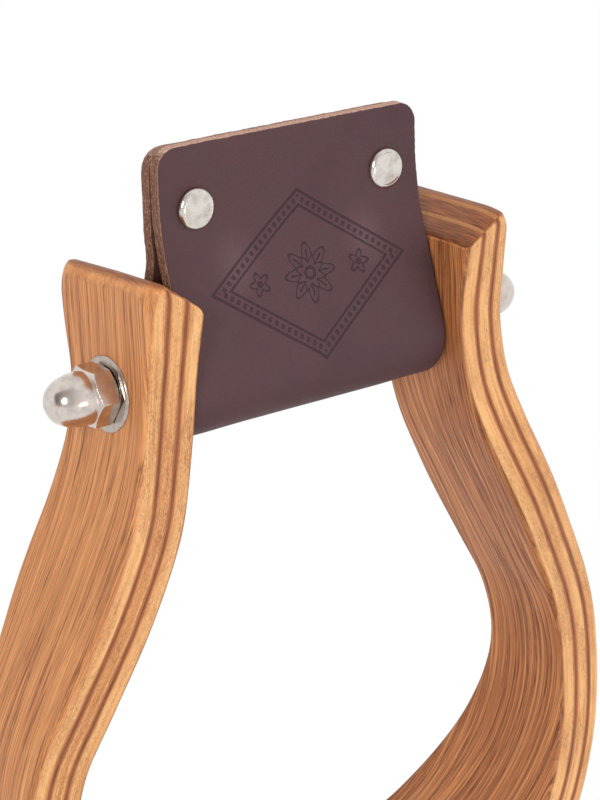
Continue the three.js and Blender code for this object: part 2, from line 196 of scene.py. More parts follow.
white = 1, 1, 1, 1
black = 0, 0, 0, 1
floor_size = 8
floor_glow = 0.98
paper_white = 1.01
paper, wire, shader = new_finish("floor_paper", Roughness=0.9)
shader.inputs["Base Color"].default_value = tone(244, 244, 244)
lit = Wire(wire.tree, shader.outputs[0])
glow = wire.node("Emission", {"Color": white, "Strength": paper_white})
surface = wire.node("MixShader", {0: seen_directly(wire) * floor_glow, 1: lit, 2: glow})
wire.tree.links.new(surface.socket, wire.tree.nodes["Material Output"].inputs["Surface"])
flat_sheet("floor", floor_size, floor_size, paper)

room_light = 0.58
world = bpy.data.worlds.new("white_room")
bpy.context.scene.world = world
world.use_nodes = True
backdrop = world.node_tree.nodes["Background"]
backdrop.inputs["Color"].default_value = white
strength = room_light + (1 - room_light) * seen_directly(Wire(world.node_tree))
world.node_tree.links.new(strength.socket, backdrop.inputs["Strength"])

right_box = soft_box("right_box", azimuth=37, elevation=26, distance=2.2, width=2.3, height=2.3, power=21)
right_box.visible_glossy = False
soft_box("left_box", azimuth=-50, elevation=20, distance=1.3, width=0.2, height=0.3, power=4.5)

curtain_fade_across = -2.8, 3.4
curtain_fade_up = 1.2, 2.1
curtain_brown = tone(114, 104, 97)
cloth, wire, shader = new_finish("dark_curtain", Emission_Strength=1.0)
shader.inputs["Base Color"].default_value = black
across, up, _ = parts_of(wire.node("TexCoord", {}, output="Object"))
right_end = rise(across, *curtain_fade_across)
hems = rise(abs(up), *curtain_fade_up)
faded = wire.math("MAXIMUM", right_end, hems)
feed(shader, "Emission Color", mixed(faded, curtain_brown, white))
curtain = flat_sheet("curtain", width=6.0, height=4.2, finish=cloth)
curtain.matrix_world = facing_stirrup(azimuth=-40, elevation=27, distance=1.9)
board_white, wire, shader = new_finish("white_card", Emission_Strength=7.0)
shader.inputs["Base Color"].default_value = black
shader.inputs["Emission Color"].default_value = white
card = flat_sheet("card", width=0.07, height=0.03, finish=board_white)
card.matrix_world = facing_stirrup(azimuth=-3, elevation=-4, distance=0.3)
for sheet in (curtain, card):
    sheet.visible_camera = False
    sheet.visible_diffuse = False
    sheet.visible_shadow = False


# Oak bell. Three thick strips and two thin ones with their grain across, glued round a former,
# sawn to outline, sanded round at the edges and lacquered. Distances through the wood are from the
# middle of the core, outwards. Where the arms differ, -1 is the left one and 1 the right one.
core_half = 1.75 * mm
crossband = 1.1 * mm
outer_half = 6.7 * mm
inner_half = 7.4 * mm
neck_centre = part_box("left_washer")[1].x * -1 - outer_half
foot_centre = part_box("outer_ply")[1].x - outer_half
flank_lean = radians(27.1)
neck_bend = 93 * mm
shoulder_bend = 59.7 * mm
corner_bend = 55.7 * mm
neck_bend_start = bolt_height + 6.7 * mm
arm_top = bolt_height + 24.85 * mm
end_slope = radians(32.5)
end_slope_start = bolt_height + 9.1 * mm
end_lift = {-1: 0.8 * mm, 1: 0.25 * mm}
end_tilt = {-1: 0.056, 1: 0}
end_twist = {-1: 0.161, 1: 0}
outer_edge_round = 2.3 * mm
inner_edge_round = 1.6 * mm
end_edge_round = 2.4 * mm
end_inner_round = {-1: 2.6 * mm, 1: 1 * mm}
inner_corner_round = 1 * mm
outer_corner_round = {-1: 6 * mm, 1: 3 * mm}
corner_growth = 2.6
front_fall = {-1: 0, 1: 0.9 * mm}
front_fall_reach = 9 * mm
front_fullness = {-1: 0, 1: 0.9 * mm}
fullness_height = bolt_height - 4 * mm
fullness_reach = 12 * mm
back_hollow = {-1: 0, 1: 1.4 * mm}
hollow_height = bolt_height - 32 * mm
hollow_reach = 24 * mm
sawn_profile = [
    (-157.7, 25.4, 25.4), (-146, 23.8, 23.8), (-125, 18.1, 18.4), (-104, 14.26, 14.64),
    (-84, 14.33, 15.1), (-66, 16.82, 17.07), (-48, 18.89, 18.77), (-30, 18.39, 18.2),
    (-14, 15.85, 16.69), (0, 15.47, 16.69), (14, 17.89, 18.93), (28, 20.29, 20.3), (42, 22.4, 22.0),
]
worked_end = 14 * mm
worked_side = 8 * mm
end_cuts = [c * mm for c in (0, 0.3, 0.7, 1.2, 1.8, 2.5, 3.3, 4.2, 5.3, 6.6, 8.2, 10, 12, 14)]
side_cuts = [c * mm for c in (0, 0.35, 0.8, 1.4, 2.1, 2.9, 3.9, 5, 6.4, 8)]
skin_cuts = [c * mm for c in (0, 0.06, 0.24, 0.55, 1.0, 1.6, 2.3)]
blank_half_depth = 26 * mm
length_spacing = 1.8 * mm
depth_spacing = 4 * mm
layer_spacing = 1.2 * mm

tiny = 1e-6
upright = pi / 2
bend_widths = (neck_bend + shoulder_bend) * (1 - cos(flank_lean))
flank = (foot_centre - neck_centre - bend_widths) / sin(flank_lean)
bell_legs = [
    (foot_centre - corner_bend, 0),
    (corner_bend * upright, upright),
    (shoulder_bend * flank_lean, upright + flank_lean),
    (flank, upright + flank_lean),
    (neck_bend * flank_lean, upright),
    (arm_top - neck_bend_start, upright),
]
bell_half_length = sum(length for length, _ in bell_legs)


def walk(legs, distance):
    """How far across and up a bent strip has got. A leg is a length and the heading at its end."""
    across = up = heading = 0.0
    for i, (length, end) in enumerate(legs):
        part = distance if i == len(legs) - 1 else min(distance, length)
        turned = heading + (end - heading) * part / length
        if abs(end - heading) < tiny:
            across += part * cos(heading)
            up += part * sin(heading)
        else:
            radius = length / (end - heading)
            across += radius * (sin(turned) - sin(heading))
            up += radius * (cos(heading) - cos(turned))
        heading = turned
        distance -= part
        if distance <= 0:
            break
    return across, up, heading


def sawn_edge(height, behind):
    """How far the sawn edge lies in front of the bolt's axis, or behind it, at a height: a smooth
    curve through the places of the profile."""
    z = (height - bolt_height) / mm
    places = [(row[0], row[2] if behind else row[1]) for row in sawn_profile]
    z = min(max(z, places[0][0]), places[-1][0])
    i = max(k for k in range(len(places) - 1) if places[k][0] <= z)
    (z1, y1), (z2, y2) = places[i], places[i + 1]
    z0, y0 = places[max(i - 1, 0)]
    z3, y3 = places[min(i + 2, len(places) - 1)]
    run = z2 - z1
    slope_in = (y2 - y0) / (z2 - z0) * run
    slope_out = (y3 - y1) / (z3 - z1) * run
    t = (z - z1) / run
    step = (3 - 2 * t) * t * t * (y2 - y1)
    bend = t * (1 - t) * ((1 - t) * slope_in - t * slope_out)
    return (y1 + step + bend) * mm


def board(cuts):
    """A closed box in bmesh with cuts across each axis at the places listed for it."""
    bm = bmesh.new()
    bmesh.ops.create_cube(bm, size=1, matrix=Matrix.Translation((0.5, 0.5, 0.5)))
    for axis, places in enumerate(cuts):
        along = [e for e in bm.edges if abs(e.verts[0].co[axis] - e.verts[1].co[axis]) > 0.5]
        if len(places) > 2:
            bmesh.ops.subdivide_edges(bm, edges=along, cuts=len(places) - 2, use_grid_fill=True)
    for v in bm.verts:
        v.co = [places[round(v.co[i] * (len(places) - 1))] for i, places in enumerate(cuts)]
    return bm


def bow(radius, distance):
    """How far a round edge has drawn in, at a distance from the face that it meets."""
    short = min(max(0, radius - distance), radius)
    return radius - sqrt(radius * radius - short * short)


def squeeze(distance, inset, reach):
    """A point's distance in from an edge that moves in by inset. Past reach, nothing moves."""
    if distance >= reach:
        return distance
    return reach - (reach - distance) * (reach - inset) / reach


def swell(distance, reach):
    """1 at no distance, and fading evenly to nothing on both sides at about twice the reach."""
    return exp(-((distance / reach) ** 2))


def eased(a, b, radius):
    """Two distances in from two edges that meet, once their corner is round."""
    u = radius - a
    v = radius - b
    if min(u, v) <= 0:
        return a, b
    turn = max(u, v) / hypot(u, v)
    return radius - u * turn, radius - v * turn


def end_drop(through, side):
    """How far the rounded outer edge of an arm's sloping end lies under the slope: an arc that
    meets the slope and the outer face."""
    centre = outer_half - end_edge_round
    drop = bow(end_inner_round[side], through + inner_half)
    if through > centre - end_edge_round * sin(end_slope):
        centre_height = centre * tan(end_slope) - end_edge_round / cos(end_slope)
        off = min(through - centre, end_edge_round)
        arc = centre_height + sqrt(end_edge_round**2 - off * off)
        drop += through * tan(end_slope) - arc
    return drop


def spread(low, high, step):
    count = max(1, round((high - low) / step))
    return [low + (high - low) * i / count for i in range(1, count)]


def both_ends(half, rim, between):
    """Places from -half to half, close together over the rim at both ends."""
    inner = half - rim[-1]
    return [x - half for x in rim] + spread(-inner, inner, between) + [half - x for x in reversed(rim)]


def keep_vectors(mesh, name, vectors):
    made = mesh.attributes.new(name, "FLOAT_VECTOR", "CORNER")
    made.data.foreach_set("vector", [x for vector in vectors for x in vector])


def closed_mesh(bm, smooth_angle):
    """The mesh of a closed piece, its faces outwards and smooth up to an angle in degrees."""
    bmesh.ops.recalc_face_normals(bm, faces=bm.faces)
    for face in bm.faces:
        face.smooth = True
    mesh = bpy.data.meshes.new("piece")
    bm.to_mesh(mesh)
    bm.free()
    mesh.set_sharp_from_angle(angle=radians(smooth_angle))
    return mesh


def marked(bm, name):
    """The flat board as a mesh that keeps each point's place, in mm, and facing for its finish."""
    mesh = closed_mesh(bm, smooth_angle=40)
    places = [mesh.vertices[loop.vertex_index].co / mm for loop in mesh.loops]
    keep_vectors(mesh, name + "_place", places)
    keep_vectors(mesh, name + "_facing", [n.vector for n in mesh.corner_normals])
    return mesh


def piece(name, mesh, body, replaced, finish):
    """Makes the object of a finished mesh, on its body and in the place of the CAD's node."""
    mesh.name = name
    mesh.materials.clear()
    mesh.materials.append(finish)
    made = bpy.data.objects.new(name, mesh)
    bpy.context.collection.objects.link(made)
    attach(made, body)
    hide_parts(replaced)
    return made


def saw_and_sand(bm):
    """Brings a blank to the bell's outline, one layer through its thickness at a time."""
    for v in bm.verts:
        along, depth, through = v.co
        side = 1 if along > 0 else -1
        behind = depth > 0
        inset = bow(outer_edge_round, outer_half - through) + bow(inner_edge_round, through + inner_half)
        drop = end_drop(through, side)
        if not behind:
            drop += front_fall[side] * max(0, 1 - (blank_half_depth + depth) / front_fall_reach) ** 2
        share = max(0, through + inner_half) / (outer_half + inner_half)
        radius = inner_corner_round + (outer_corner_round[side] - inner_corner_round) * share**corner_growth
        from_end = squeeze(bell_half_length - abs(along), drop, worked_end) - drop
        from_side = squeeze(blank_half_depth - abs(depth), inset, worked_side) - inset
        from_end, from_side = eased(from_end, from_side, radius)
        along = (bell_half_length - from_end - drop) * side
        height = outer_half + walk(bell_legs, abs(along))[1]
        half = sawn_edge(height, behind)
        if behind:
            half -= back_hollow[side] * swell(height - hollow_height, hollow_reach)
        else:
            half += front_fullness[side] * swell(height - fullness_height, fullness_reach)
        if from_side + inset >= worked_side:
            depth *= (half - worked_side) / (blank_half_depth - worked_side)
        else:
            depth = (half - from_side - inset) * (1 if behind else -1)
        v.co = (along, depth, through)


def bend_to_bell(mesh):
    """Bends the finished board round the former. Its sections lean to meet the sloping ends. The
    board's outer face goes underneath, which turns its faces inside out, so they are turned back."""
    for v in mesh.vertices:
        along, depth, through = v.co
        side = 1 if along > 0 else -1
        across, up, heading = walk(bell_legs, abs(along))
        height = outer_half + up
        share = max(0, (height - end_slope_start) / (arm_top - end_slope_start))
        twist = end_twist[side] * (outer_half - through) * max(0, -depth) / blank_half_depth
        lean = share * (through * tan(end_slope) + end_lift[side] - depth * end_tilt[side] - twist)
        x = across + through * sin(heading)
        v.co = (x * side, depth, height - through * cos(heading) + lean)
    mesh.flip_normals()


def attribute(wire, name):
    return wire.node("Attribute", {}, output="Vector", attribute_name=name)


def joined(first, second, third=0.0):
    wire = first if isinstance(first, Wire) else second
    return wire.node("CombineXYZ", {0: first, 1: second, 2: third})


def speckle(place, density, detail=2.0, roughness=0.5):
    """Noise with about so many features to a unit of place, which may differ by axis."""
    drawn = place.node("VectorMath", {0: place, 1: density}, operation="MULTIPLY")
    return place.node("TexNoise", {"Vector": drawn, "Scale": 1.0, "Detail": detail, "Roughness": roughness})


def bumped(shader, height, depth):
    feed(shader, "Normal", height.node("Bump", {"Height": height, "Distance": depth, "Strength": 1.0}))


def oak_finish(name, grain_across=False):
    """Oak under satin lacquer: streaked and full of pores on its faces, mottled gold at its edges,
    dark where it is cut across. A crossband's grain runs from front to back."""
    light_face = tone(250, 174, 108)
    mid_face = tone(225, 147, 87)
    dark_face = tone(164, 93, 49)
    pore = tone(112, 54, 25)
    light_edge = tone(252, 194, 130)
    mid_edge = tone(222, 150, 90)
    dark_edge = tone(152, 86, 46)
    ring_line = tone(112, 70, 46)
    light_end = tone(184, 108, 58)
    dark_end = tone(112, 58, 27)
    handled_place = -204.0
    if grain_across:
        light_edge, mid_edge, dark_edge = tone(218, 150, 92), tone(198, 128, 72), tone(160, 96, 50)
        light_end, dark_end = tone(164, 88, 43), tone(112, 57, 25)

    material, wire, shader = new_finish(name, Coat_Roughness=0.3, Specular_IOR_Level=0.38)
    place = attribute(wire, "oak_place")
    facing = attribute(wire, "oak_facing")
    along, depth, through = parts_of(place)
    facing_end, facing_side, _ = [abs(part) for part in parts_of(facing)]
    if grain_across:
        place = joined(depth, along, through)
        facing_end, facing_side = facing_side, facing_end

    wander = speckle(place, (0.011, 0.05, 0.05), detail=1.0)
    grain = place.node("VectorMath", {0: place, 1: joined(0.0, wander * 8, wander * 3)})
    rings = speckle(grain, (0.004, 0.2, 0.2), detail=2.0, roughness=0.65)
    year = rings.math("FRACT", rings * 6)
    early = rise(year, 0.5, 0.9) * (1 - rise(year, 0.93, 1.0))
    inner_side = rise(0 - through, 4.5, 6.5)
    streaks = speckle(grain, (0.012, 0.7, 0.7), detail=3.0, roughness=0.65)
    lines = speckle(grain, (0.014, 2.5, 2.5), detail=3.0, roughness=0.72)
    bands = speckle(grain, (0.012, 1.3, 1.3), detail=2.0, roughness=0.6)
    drift = parts_of(grain)[1] * 2.7 + 9 * speckle(grain, (0.006, 0.12, 0.12), detail=2.0)
    unevenness = rise(speckle(grain, (0.012, 0.3, 0.3), detail=2.0), 0.4, 0.6)
    stripes = rise(drift.math("SINE", drift), 0.2, 0.95) * (0.25 + 0.75 * unevenness)
    fibres = speckle(grain, (0.05, 5, 5), detail=2.0, roughness=0.6)
    level = 1 - rise(facing_end, 0.1, 0.4)
    pores = rise(speckle(grain, (0.09, 3.6, 3.6), detail=2.0, roughness=0.75), 0.5, 0.64)
    pores = pores * level * (0.2 + 0.8 * early)
    face = mixed(rise(streaks, 0.34, 0.64) * 0.85, light_face, mid_face)
    face = mixed(inner_side * 0.1 + early * (0.24 + 0.3 * inner_side), face, dark_face)
    face = mixed(rise(bands, 0.49, 0.57) * level * (0.24 + 0.3 * inner_side), face, dark_face)
    face = mixed(rise(lines, 0.5, 0.64) * level * (0.58 + 0.3 * early + 0.2 * inner_side), face, dark_face)
    face = mixed(stripes * inner_side * 0.62, face, ring_line)
    face = mixed(rise(fibres, 0.4, 0.64) * 0.32, face, dark_face)
    ticks = rise(speckle(grain, (0.16, 5.6, 5.6), detail=1.0), 0.56, 0.64) * level * (0.25 + 0.75 * early)
    face = mixed(pores * (0.6 + 0.2 * inner_side), face, pore)
    face = mixed(ticks * 0.6, face, pore)

    layers = speckle(grain, (0.01, 0.1, 0.9), detail=3.0)
    mottle = speckle(grain, (1.1, 1.0, 7), detail=1.0, roughness=0.6)
    dashes = speckle(grain, (0.14, 0.4, 4.6), detail=2.0, roughness=0.7)
    patches = speckle(grain, (0.07, 0.05, 0.35), detail=3.0)
    right_arm = rise(along, -10, 10)
    heart = rise(through, -3.4, -2.4) * (1 - 0.7 * rise(through, 1.8, 3.0)) * (0.28 - 0.22 * right_arm)
    handled = (1 - rise(abs(along - handled_place), 8, 28)) * (1 - rise(through, 1.0, 2.0))
    edge = mixed(rise(layers, 0.34, 0.64) * 0.6 + heart, light_edge, mid_edge)
    dirty = rise(patches, 0.42, 0.6) * 0.7 + handled * 0.7
    edge = mixed(rise(mottle, 0.4, 0.7) * (0.12 + 0.42 * dirty + heart * 0.4), edge, dark_edge)
    edge = mixed(dirty * 0.16, edge, dark_edge)
    edge = mixed(rise(dashes, 0.5, 0.66) * (0.16 + 0.3 * dirty), edge, dark_edge)
    specks = rise(speckle(grain, (0.8, 1.0, 2.6), detail=2.0, roughness=0.7), 0.54, 0.62)
    edge = mixed(specks * (0.14 + 0.24 * dirty + 0.4 * heart), edge, dark_edge)
    from_band = abs(abs(through) - (core_half + crossband / 2) / mm) - crossband / 2 / mm
    glue = rise(from_band, -0.3, 0.0) * (1 - rise(from_band - 0.9 * dashes, -0.4, 0.1))
    edge = mixed(glue * 0.7, edge, dark_edge)

    vessels = speckle(grain, (0.1, 0.14, 3.2), detail=3.0, roughness=0.65)
    end = mixed(rise(vessels, 0.32, 0.7) + inner_side * 0.35, light_end, dark_end)
    end = mixed(rise(speckle(grain, (0.1, 3, 3), detail=1.0), 0.55, 0.7) * 0.5, end, dark_end)
    if grain_across:
        end = mixed(rise(from_band, -0.3, -0.02) * (0.2 + 0.8 * dashes), end, mid_edge)

    turned_over = rise(facing_side, 0.66 + 0.16 * inner_side, 0.88 + 0.1 * inner_side)
    face = mixed(rise(facing_side, 0.1, 0.5) * inner_side * 0.3, face, ring_line)
    colour = mixed(turned_over, face, edge)
    colour = mixed(rise(facing_end, 0.45, 0.75), colour, end)
    feed(shader, "Base Color", colour)
    feed(shader, "Roughness", 0.42 + 0.12 * streaks + 0.15 * pores)
    feed(shader, "Coat Weight", 0.14 - 0.06 * pores - 0.06 * facing_side - 0.08 * inner_side)
    bumped(shader, 0.4 * fibres - pores, 0.00006)
    return material


def oak_strip(name, low, high, finish):
    through = [low] + spread(low, high, layer_spacing) + [high]
    if high == outer_half:
        through = [low] + [high - c for c in reversed(skin_cuts)]
    if low == -inner_half:
        through = [low + c for c in skin_cuts] + [high]
    lengths = both_ends(bell_half_length, end_cuts, length_spacing)
    depths = both_ends(blank_half_depth, side_cuts, depth_spacing)
    bm = board([lengths, depths, through])
    saw_and_sand(bm)
    mesh = marked(bm, "oak")
    bend_to_bell(mesh)
    return piece("oak_" + name, mesh, "wood_frame", name, finish)


oak = oak_finish("oak")
oak_across = oak_finish("oak_across", grain_across=True)
band_top = core_half + crossband
oak_strip("inner_ply", -inner_half, -band_top, oak)
oak_strip("inner_crossband", -band_top, -core_half, oak_across)
oak_strip("core_ply", -core_half, core_half, oak)
oak_strip("outer_crossband", core_half, band_top, oak_across)
oak_strip("outer_ply", band_top, outer_half, oak)


# Bolt, washers and closed nuts: bright plated steel. The washers are pressed into the oak, and the
# nuts are drawn tight against them.
washer_thickness = 1.6 * mm
washer_radius = 9 * mm
washer_sink = 0.45 * mm
washer_tilt = radians(3.4)
washer_bore = 4.25 * mm
washer_edge = 0.7 * mm
washer_sag = 0.7 * mm
nut_flats = 13 * mm
nut_lift = 0.25 * mm
nut_seat_circle = 6.3 * mm
nut_seat_chamfer = 0.5 * mm
nut_height = 5 * mm + washer_sink
nut_top_circle = 6.35 * mm
nut_top_chamfer = 0.6 * mm
nut_edge = 0.12 * mm
nut_smooth_angle = 22
dome_radius = 6.25 * mm
dome_length = 9.65 * mm
dome_fullness = 2.45
dome_steps = 24
neck_low = 0.12 * mm
neck_high = 0.3 * mm
neck_draw = 0.05 * mm
nut_turns = {-1: radians(32), 1: radians(17)}


def arc(centre_along, centre_radius, radius, first, last, steps):
    """Points of a turned profile on an arc, its angles in degrees from straight out of the axis."""
    turns = [radians(first + (last - first) * i / steps) for i in range(steps + 1)]
    return [(centre_along + radius * sin(t), centre_radius + radius * cos(t)) for t in turns]


def turned(profile, segments=96):
    """Spins a profile of places along the axis and radii about X."""
    bm = bmesh.new()
    row = [bm.verts.new((along, 0, radius)) for along, radius in profile]
    for a, b in zip(row, row[1:]):
        bm.edges.new((a, b))
    bmesh.ops.spin(
        bm, geom=bm.verts[:] + bm.edges[:], cent=(0, 0, 0), axis=(1, 0, 0),
        angle=2 * pi, steps=segments, use_merge=True,
    )
    bmesh.ops.remove_doubles(bm, verts=bm.verts, dist=1e-7)
    return bm


def placed(bm, place, smooth_angle):
    """Puts a turned piece in its place and makes its mesh."""
    bmesh.ops.transform(bm, matrix=place, verts=bm.verts)
    return closed_mesh(bm, smooth_angle)


def refinish(node, finish):
    """Gives another finish to a node that keeps the CAD's mesh."""
    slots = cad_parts[node].data.materials
    slots.clear()
    slots.append(finish)


def plate_finish(name, bright, worn, roughness, dents):
    """Plated metal: bright, with fine scratches, a slight haze and a surface that isn't quite even."""
    material, wire, shader = new_finish(name, Metallic=1.0)
    place = wire.node("TexCoord", {}, output="Object")
    haze = speckle(place, (420, 420, 420), detail=3.0)
    scratches = speckle(place, (900, 5200, 5200), detail=2.0, roughness=0.7)
    specks = rise(speckle(place, (1600, 1600, 1600), detail=1.0), 0.66, 0.74)
    feed(shader, "Base Color", mixed(rise(haze, 0.35, 0.75) * 0.5 + specks * 0.4, bright, worn))
    feed(shader, "Roughness", roughness + 0.1 * rise(haze, 0.4, 0.8) + 0.06 * scratches)
    bumped(shader, speckle(place, (260, 260, 260), detail=1.0) * dents + scratches * 0.02, 0.001)
    return material


plating = plate_finish(
    "plated_steel", tone(216, 206, 198), tone(178, 167, 158), roughness=0.12, dents=0.02
)
zinc = plate_finish(
    "washer_zinc", tone(192, 180, 171), tone(146, 133, 124), roughness=0.2, dents=0.08
)

refinish("bolt", plating)

for side, hand in ((-1, "left"), (1, "right")):
    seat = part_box(hand + "_washer")[0].x if side > 0 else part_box(hand + "_washer")[1].x
    seat -= washer_sink * side
    outward = Matrix.Translation((seat, 0, bolt_height)) @ Matrix.Rotation(0 if side > 0 else pi, 4, "Z")
    rim = washer_radius - washer_edge
    edge_low = arc(washer_edge, rim, washer_edge, first=-90, last=0, steps=4)
    edge_high = arc(washer_thickness - washer_edge, rim, washer_edge, first=0, last=90, steps=4)
    ring = [(0, washer_bore), *edge_low, *edge_high, (washer_thickness, washer_bore), (0, washer_bore)]
    lying = outward @ Matrix.Translation((0, 0, -washer_sag)) @ Matrix.Rotation(-washer_tilt, 4, "Y")
    mesh = placed(turned(ring), lying, smooth_angle=30)
    piece(hand + "_steel_washer", mesh, "wood_frame", hand + "_washer", zinc)

    corner = nut_flats / sqrt(3)
    low_edge = (nut_lift + nut_seat_chamfer, corner)
    high_edge = (nut_height - nut_top_chamfer, corner)
    neck = [(nut_height + neck_low, dome_radius), (nut_height + neck_high, dome_radius - neck_draw)]
    power = 2 / dome_fullness
    dome = []
    for i in range(1, dome_steps + 1):
        t = upright * i / dome_steps
        radius = dome_radius * max(0, cos(t)) ** power
        dome.append((nut_height + dome_length * sin(t) ** power, radius))
    seat_face = [(0, 0), (0, nut_seat_circle), (nut_lift, nut_seat_circle)]
    shell = [*seat_face, low_edge, high_edge, (nut_height, nut_top_circle), *neck, *dome]
    bm = turned(shell)
    for v in bm.verts:
        radius = hypot(v.co.y, v.co.z)
        if radius < corner - tiny:
            continue
        turn = atan2(-v.co.y, v.co.z) % (pi / 3) - pi / 6
        flat = nut_flats / 2 / cos(turn)
        v.co.y *= flat / radius
        v.co.z *= flat / radius
        if v.co.x < nut_height / 2:
            v.co.x = nut_lift + nut_seat_chamfer * (flat - nut_seat_circle) / (corner - nut_seat_circle)
        else:
            v.co.x = nut_height - nut_top_chamfer * (flat - nut_top_circle) / (corner - nut_top_circle)
    start = nut_turns[side] * side
    along_bolt = outward @ Matrix.Translation((washer_thickness, 0, 0)) @ Matrix.Rotation(start, 4, "X")
    mesh = placed(bm, along_bolt, nut_smooth_angle)
    nut = piece(hand + "_closed_nut", mesh, "wood_frame", hand + "_cap_nut", plating)
    bevel = nut.modifiers.new("worn_edges", "BEVEL")
    bevel.width = nut_edge
    bevel.segments = 2
    bevel.limit_method = "ANGLE"
    bevel.angle_limit = radians(nut_smooth_angle)


# Sleeve and roller. A drawn steel tube on the bolt keeps the arms apart, and a turned nylon roller
# fills the round of the leather and runs on it. Only their ends show, beside the cover.
def turned_finish(name, colour, groove, metallic, roughness):
    """A part turned in a lathe: fine rings round its axis, and a little dirt in them."""
    material, wire, shader = new_finish(name, Metallic=metallic)
    place = wire.node("TexCoord", {}, output="Object")
    rings = speckle(place, (3800, 120, 120), detail=2.0, roughness=0.7)
    stains = speckle(place, (160, 160, 160), detail=3.0)
    dirt = rise(rings, 0.45, 0.75) * 0.5 + rise(stains, 0.5, 0.8) * 0.4
    feed(shader, "Base Color", mixed(dirt, colour, groove))
    feed(shader, "Roughness", roughness + 0.12 * stains)
    bumped(shader, rings, 0.00004)
    return material


drawn_steel = turned_finish(
    "drawn_steel", tone(176, 174, 170), tone(120, 114, 108), metallic=1.0, roughness=0.34
)
nylon = turned_finish(
    "turned_nylon", tone(222, 214, 198), tone(188, 176, 156), metallic=0.0, roughness=0.42
)
refinish("spacer_sleeve", drawn_steel)
refinish("roller", nylon)


# Leather cover. One strip of thick oxblood leather, waxed on its grain side, folded round the roller
# and brought together above it. Its cut edges are left raw, and its front is tooled with a plain
# rosette in a double lozenge. Distances along the strip are from the bottom of the fold.
leather_half = 1.65 * mm
cover_half_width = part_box("leather_cover")[1].x
cover_corner = 5 * mm
cover_edge = 0.45 * mm
cover_rise = 0.12 * mm
waviness = 0.16 * mm
cover_wave = 16 * mm
fine_fray = 0.12 * mm
fine_fray_size = 0.9 * mm
coarse_fray = 0.1 * mm
coarse_fray_size = 5 * mm
fray_reach = 0.6 * mm
hide_spacing = 0.9 * mm
cover_cuts = [c * mm for c in (0, 0.12, 0.3, 0.55, 0.9, 1.4, 2.1, 3, 4, 5.2, 6.5, 8)]
hide_cuts = [c * mm for c in (0, 0.12, 0.3, 0.6, 1.1)]
fold_radius = 10.35 * mm
fold_bottom = bolt_height - 13.15 * mm
front_turn = radians(107)
front_rise = 25.8 * mm
front_bend = 60 * mm
front_top = 10.7 * mm
back_turn = radians(104.5)
back_rise = 25.005 * mm
back_bend = 6.531 * mm
back_overturn = radians(79.86)
back_return = 2.687 * mm
back_top = 19.15 * mm
cover_legs = {
    -1: [
        (fold_radius * front_turn, front_turn), (front_rise, front_turn),
        (front_bend * (front_turn - upright), upright), (front_top, upright),
    ],
    1: [
        (fold_radius * back_turn, back_turn), (back_rise, back_turn), (back_bend, back_overturn),
        (back_return, upright), (back_top, upright),
    ],
}
cover_reach = {hand: sum(length for length, _ in legs) for hand, legs in cover_legs.items()}
rivet_spread = 27.6 * mm
rivet_height = bolt_height + 38.2 * mm
rivet_seat = 6.6 * mm
rivet_pull = 0.2 * mm
rivet_from_top = {-1: 14.9 * mm, 1: 14.1 * mm}
rivet_along = {end: reach - rivet_from_top[end] for end, reach in cover_reach.items()}


def rough(place, size, seed):
    """A smooth random number from -1 to 1 for a place, with features of about the size given."""
    return noise.noise(Vector(place) / size + Vector((seed, 0.3 * seed, 0.7 * seed)))


def cut_hide(bm, half_width, low, high, corner):
    """Cuts a blank of leather to a rectangle with round corners. Its edges are softened, more so on
    the grain side, and fray a little."""
    for v in bm.verts:
        across, along, through = v.co
        side = 1 if across > 0 else -1
        end = high if along > 0 else low
        inset = bow(cover_edge, leather_half - through) + bow(cover_edge * 0.5, through + leather_half)
        from_side = squeeze(half_width - abs(across), inset, cover_cuts[-1]) - inset
        from_end = squeeze(abs(end - along), inset, cover_cuts[-1]) - inset
        near = min(from_side, from_end)
        from_end, from_side = eased(from_end, from_side, corner)
        fray = fine_fray * rough(v.co, fine_fray_size, seed=3)
        fray += coarse_fray * rough(v.co, coarse_fray_size, seed=7)
        fray *= max(0, 1 - near / fray_reach)
        across = (half_width - from_side - inset + fray) * side
        along = end - (from_end + inset - fray) * (1 if end > 0 else -1)
        v.co = (across, along, through)


